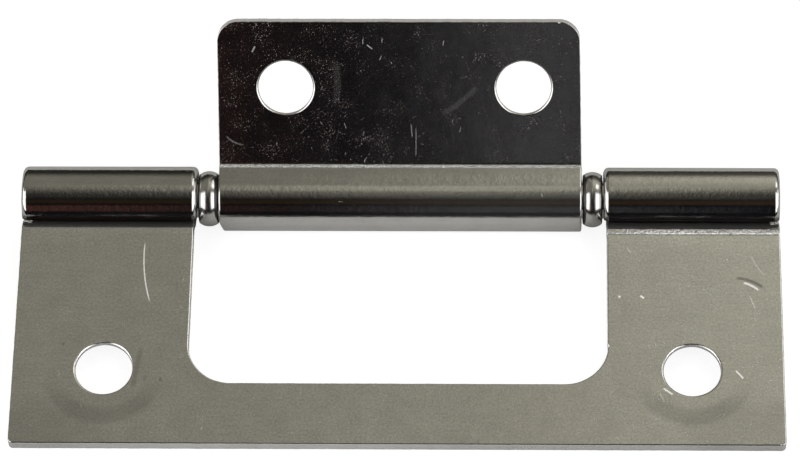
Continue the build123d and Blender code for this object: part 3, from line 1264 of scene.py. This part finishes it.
def lit_world():
    """Soft studio light. Height runs from 0 at the horizon on the camera's side, over 0.5
    straight above, to 1 at the horizon behind. The camera itself sees white."""
    world = bpy.data.worlds.new("studio")
    graph = fresh_graph(world)
    across, away, up = graph.split(graph.add("ShaderNodeTexCoord", output=0))
    height = graph.math("ARCTAN2", up, -away) / pi

    soft = ceiling_light(graph, across, height, room_light(graph, across, height))
    bright = {"Color": (1, 1, 1, 1), "Strength": settings().stage.side_light}
    side = graph.add("ShaderNodeBackground", sockets=bright)
    panels = side_panels(graph, across, height)
    lit = graph.add("ShaderNodeMixShader", sockets={0: panels, 1: soft, 2: side})
    white = graph.add("ShaderNodeBackground", sockets={"Color": (1, 1, 1, 1), "Strength": 1.0})
    seen = graph.add("ShaderNodeLightPath")
    shown = graph.add("ShaderNodeMixShader", sockets={0: seen, 1: lit, 2: white})
    graph.add("ShaderNodeOutputWorld", sockets={0: shown})
    bpy.context.scene.world = world


def floor_material():
    """Pale floor that the camera sees as white with a faint shadow."""
    material = bpy.data.materials.new("floor")
    graph = fresh_graph(material)
    shadow_share = 0.3
    white_share = 0.87
    grey = (shadow_share, shadow_share, shadow_share, 1)
    lit = graph.add("ShaderNodeBsdfDiffuse", sockets={"Color": rgba(settings().stage.floor)})
    faint = graph.add("ShaderNodeBsdfDiffuse", sockets={"Color": grey})
    glow = {"Color": (1, 1, 1, 1), "Strength": white_share}
    white = graph.add("ShaderNodeEmission", sockets=glow)
    pale = graph.add("ShaderNodeAddShader", sockets={0: faint, 1: white})
    seen = graph.add("ShaderNodeLightPath")
    shown = graph.add("ShaderNodeMixShader", sockets={0: seen, 1: lit, 2: pale})
    graph.add("ShaderNodeOutputMaterial", sockets={0: shown})
    return material


def black_material():
    """Matt black of the card in front of the hinge."""
    material = bpy.data.materials.new("card")
    graph = fresh_graph(material)
    black = graph.add("ShaderNodeBsdfDiffuse", sockets={"Color": (0.012, 0.012, 0.015, 1)})
    graph.add("ShaderNodeOutputMaterial", sockets={0: black})
    return material


def plane(name, corners, material):
    """A stage surface from its four corners."""
    data = bpy.data.meshes.new(name)
    data.from_pydata(corners, [], [(0, 1, 2, 3)])
    data.materials.append(material)
    surface = bpy.data.objects.new(name, data)
    bpy.context.scene.collection.objects.link(surface)
    return surface


class HINGE_OT_stage(bpy.types.Operator):
    """Build the floor, the light and the camera"""

    bl_idname = "hinge.stage"
    bl_label = "Stage"

    def execute(self, context):
        scene = context.scene
        scene.view_settings.view_transform = "Standard"
        lit_world()
        self.card(self.floor())
        self.lamp(scene)
        self.camera(scene)
        return {"FINISHED"}

    def floor(self):
        """The floor touches the leaf's free edge and the knuckles, so it falls away behind."""
        low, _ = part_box("outer_leaf")
        axis = pin_axis()
        sheet = settings().sheet
        edge = Vector((low.y, axis.z - sheet.thickness / 2))
        across = Vector((axis.y, axis.z)) - edge
        radius = sheet.bore_radius + sheet.thickness
        slope = atan2(across.y, across.x) - asin(radius / across.length)
        along = Vector((cos(slope), sin(slope)))
        size = 3.0
        near = edge - along * size
        far = edge + along * size
        lowered = 0.02 * MM
        corners = [
            (-size, near.x, near.y - lowered),
            (size, near.x, near.y - lowered),
            (size, far.x, far.y - lowered),
            (-size, far.x, far.y - lowered),
        ]
        plane("floor", corners, floor_material())
        return edge

    def card(self, edge):
        """A low black card in front that only reflections see, as is used for bright metal."""
        half_width = 200 * MM
        near = edge.x - 4 * MM
        far = near - 8 * MM
        top = edge.y + 9 * MM
        corners = [
            (-half_width, near, edge.y),
            (half_width, near, edge.y),
            (half_width, far, top),
            (-half_width, far, top),
        ]
        card = plane("card", corners, black_material())
        card.visible_camera = False
        card.visible_diffuse = False
        card.visible_shadow = False
        card.visible_transmission = False

    def lamp(self, scene):
        """A soft lamp above and behind that lights the floor and doesn't show in the plating."""
        data = bpy.data.lights.new("softbox", "AREA")
        data.shape = "DISK"
        data.size = 0.45
        data.energy = settings().stage.lamp_power
        lamp = bpy.data.objects.new("softbox", data)
        place = Vector((0.06, 0.42, 0.6))
        target = Vector((0.0, 0.01, 0.0))
        lamp.location = place
        lamp.rotation_euler = (place - target).to_track_quat("Z", "Y").to_euler()
        lamp.visible_glossy = False
        scene.collection.objects.link(lamp)

    def camera(self, scene):
        """The photograph's view, as fitted to the hinge's edges and holes."""
        view = settings().stage
        data = bpy.data.cameras.new("camera")
        data.lens = view.lens
        data.sensor_width = 36
        camera = bpy.data.objects.new("camera", data)
        level_away = Vector((sin(view.azimuth), -cos(view.azimuth), 0))
        away = level_away * cos(view.elevation) + Vector((0, 0, sin(view.elevation)))
        level = Vector((0, 0, 1)).cross(away).normalized()
        upright = away.cross(level)
        right = cos(view.roll) * level + sin(view.roll) * upright
        up = cos(view.roll) * upright - sin(view.roll) * level
        aim_left = 0.053 * MM
        aim_below = 2.803 * MM
        target = pin_axis() - right * aim_left - up * aim_below
        place = target + away * view.distance
        turn = Matrix((right, up, away)).transposed().to_4x4()
        camera.matrix_world = Matrix.Translation(place) @ turn
        scene.collection.objects.link(camera)
        scene.camera = camera


class HINGE_PT_parts(bpy.types.Panel):
    """Lists the hinge's parts and the stage"""

    bl_idname = "HINGE_PT_parts"
    bl_label = "Plated Hinge"
    bl_space_type = "VIEW_3D"
    bl_region_type = "UI"
    bl_category = "Hinge"

    def draw(self, context):
        for operator in OPERATORS:
            self.layout.operator(operator.bl_idname)
        for group in ("sheet", "outer", "inner", "rings", "finish", "stage"):
            values = getattr(context.scene.hinge, group)
            box = self.layout.box()
            box.label(text=group.title())
            for name in values.__annotations__:
                box.prop(values, name)


OPERATORS = (
    HINGE_OT_stage,
    HINGE_OT_outer_leaf,
    HINGE_OT_inner_leaf,
    HINGE_OT_spacer_rings,
    HINGE_OT_pin,
)

CLASSES = (
    SheetSizes,
    OuterLeafSizes,
    InnerLeafSizes,
    RingSizes,
    FinishSettings,
    StageSettings,
    HingeSettings,
    *OPERATORS,
    HINGE_PT_parts,
)


def register():
    """Adds the classes and the settings."""
    for item in CLASSES:
        bpy.utils.register_class(item)
    bpy.types.Scene.hinge = PointerProperty(type=HingeSettings)


def unregister():
    """Takes them away again."""
    del bpy.types.Scene.hinge
    for item in reversed(CLASSES):
        bpy.utils.unregister_class(item)


def main():
    """Builds everything on the frame."""
    register()
    bpy.ops.hinge.stage()
    bpy.ops.hinge.outer_leaf()
    bpy.ops.hinge.inner_leaf()
    bpy.ops.hinge.spacer_rings()
    bpy.ops.hinge.pin()


if __name__ == "__main__":
    main()
